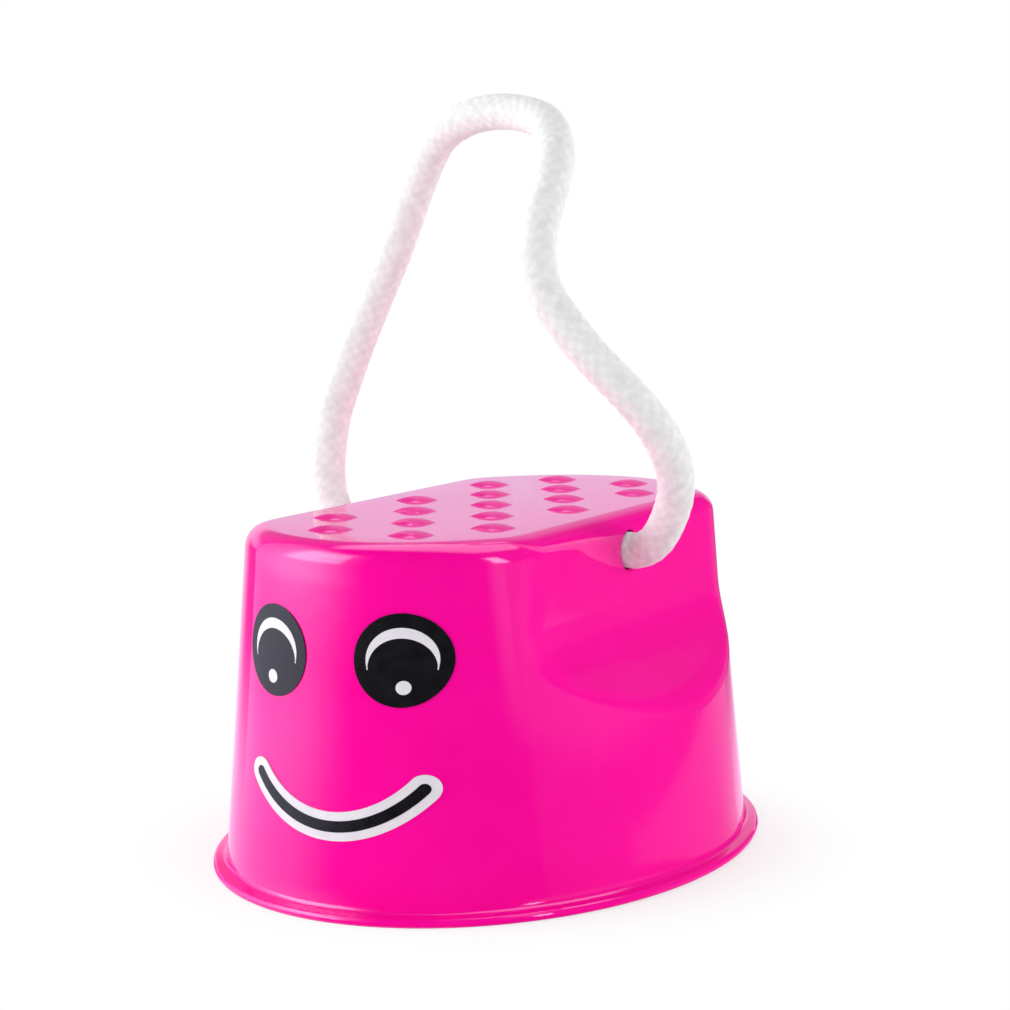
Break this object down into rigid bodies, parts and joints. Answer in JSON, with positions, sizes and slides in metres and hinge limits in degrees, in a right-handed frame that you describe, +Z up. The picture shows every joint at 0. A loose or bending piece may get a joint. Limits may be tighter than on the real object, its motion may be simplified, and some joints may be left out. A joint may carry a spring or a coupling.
{
  "type": "bucket stilt",
  "caption": "Upturned oval plastic bucket stilt with cut-in flat sides, a bumpy foot platform, a sticker smiley on the front wall and a braided rope loop to hold.",
  "frame": {"origin": "on the ground, in the middle of the rim that the stilt stands on", "axes": "+Z up, Y along the foot with the toe and the smiley at -Y, X across the foot, +X on the right of someone who looks at the smiley"},
  "size_m": [0.1148, 0.148, 0.1675],
  "materials": {
    "pink_plastic": "glossy moulded plastic",
    "white_rope": "braided white cord",
    "black_print": "glossy printed film",
    "white_print": "glossy printed film"
  },
  "bodies": {
    "stilt": {"cup": "pink_plastic", "left_knot": "white_rope", "right_knot": "white_rope", "left_eye_sticker": "black_print", "left_eye_print": "white_print", "right_eye_sticker": "black_print", "right_eye_print": "white_print", "mouth_sticker": "white_print", "mouth_print": "black_print"},
    "rope": {"rope_loop": "white_rope"}
  },
  "joints": [
    {"name": "rope_swing", "type": "hinge", "parent": "stilt", "child": "rope", "pos_m": [0, 0, 0.068], "axis": [1, 0, 0], "range_deg": [-50, 50]}
  ]
}
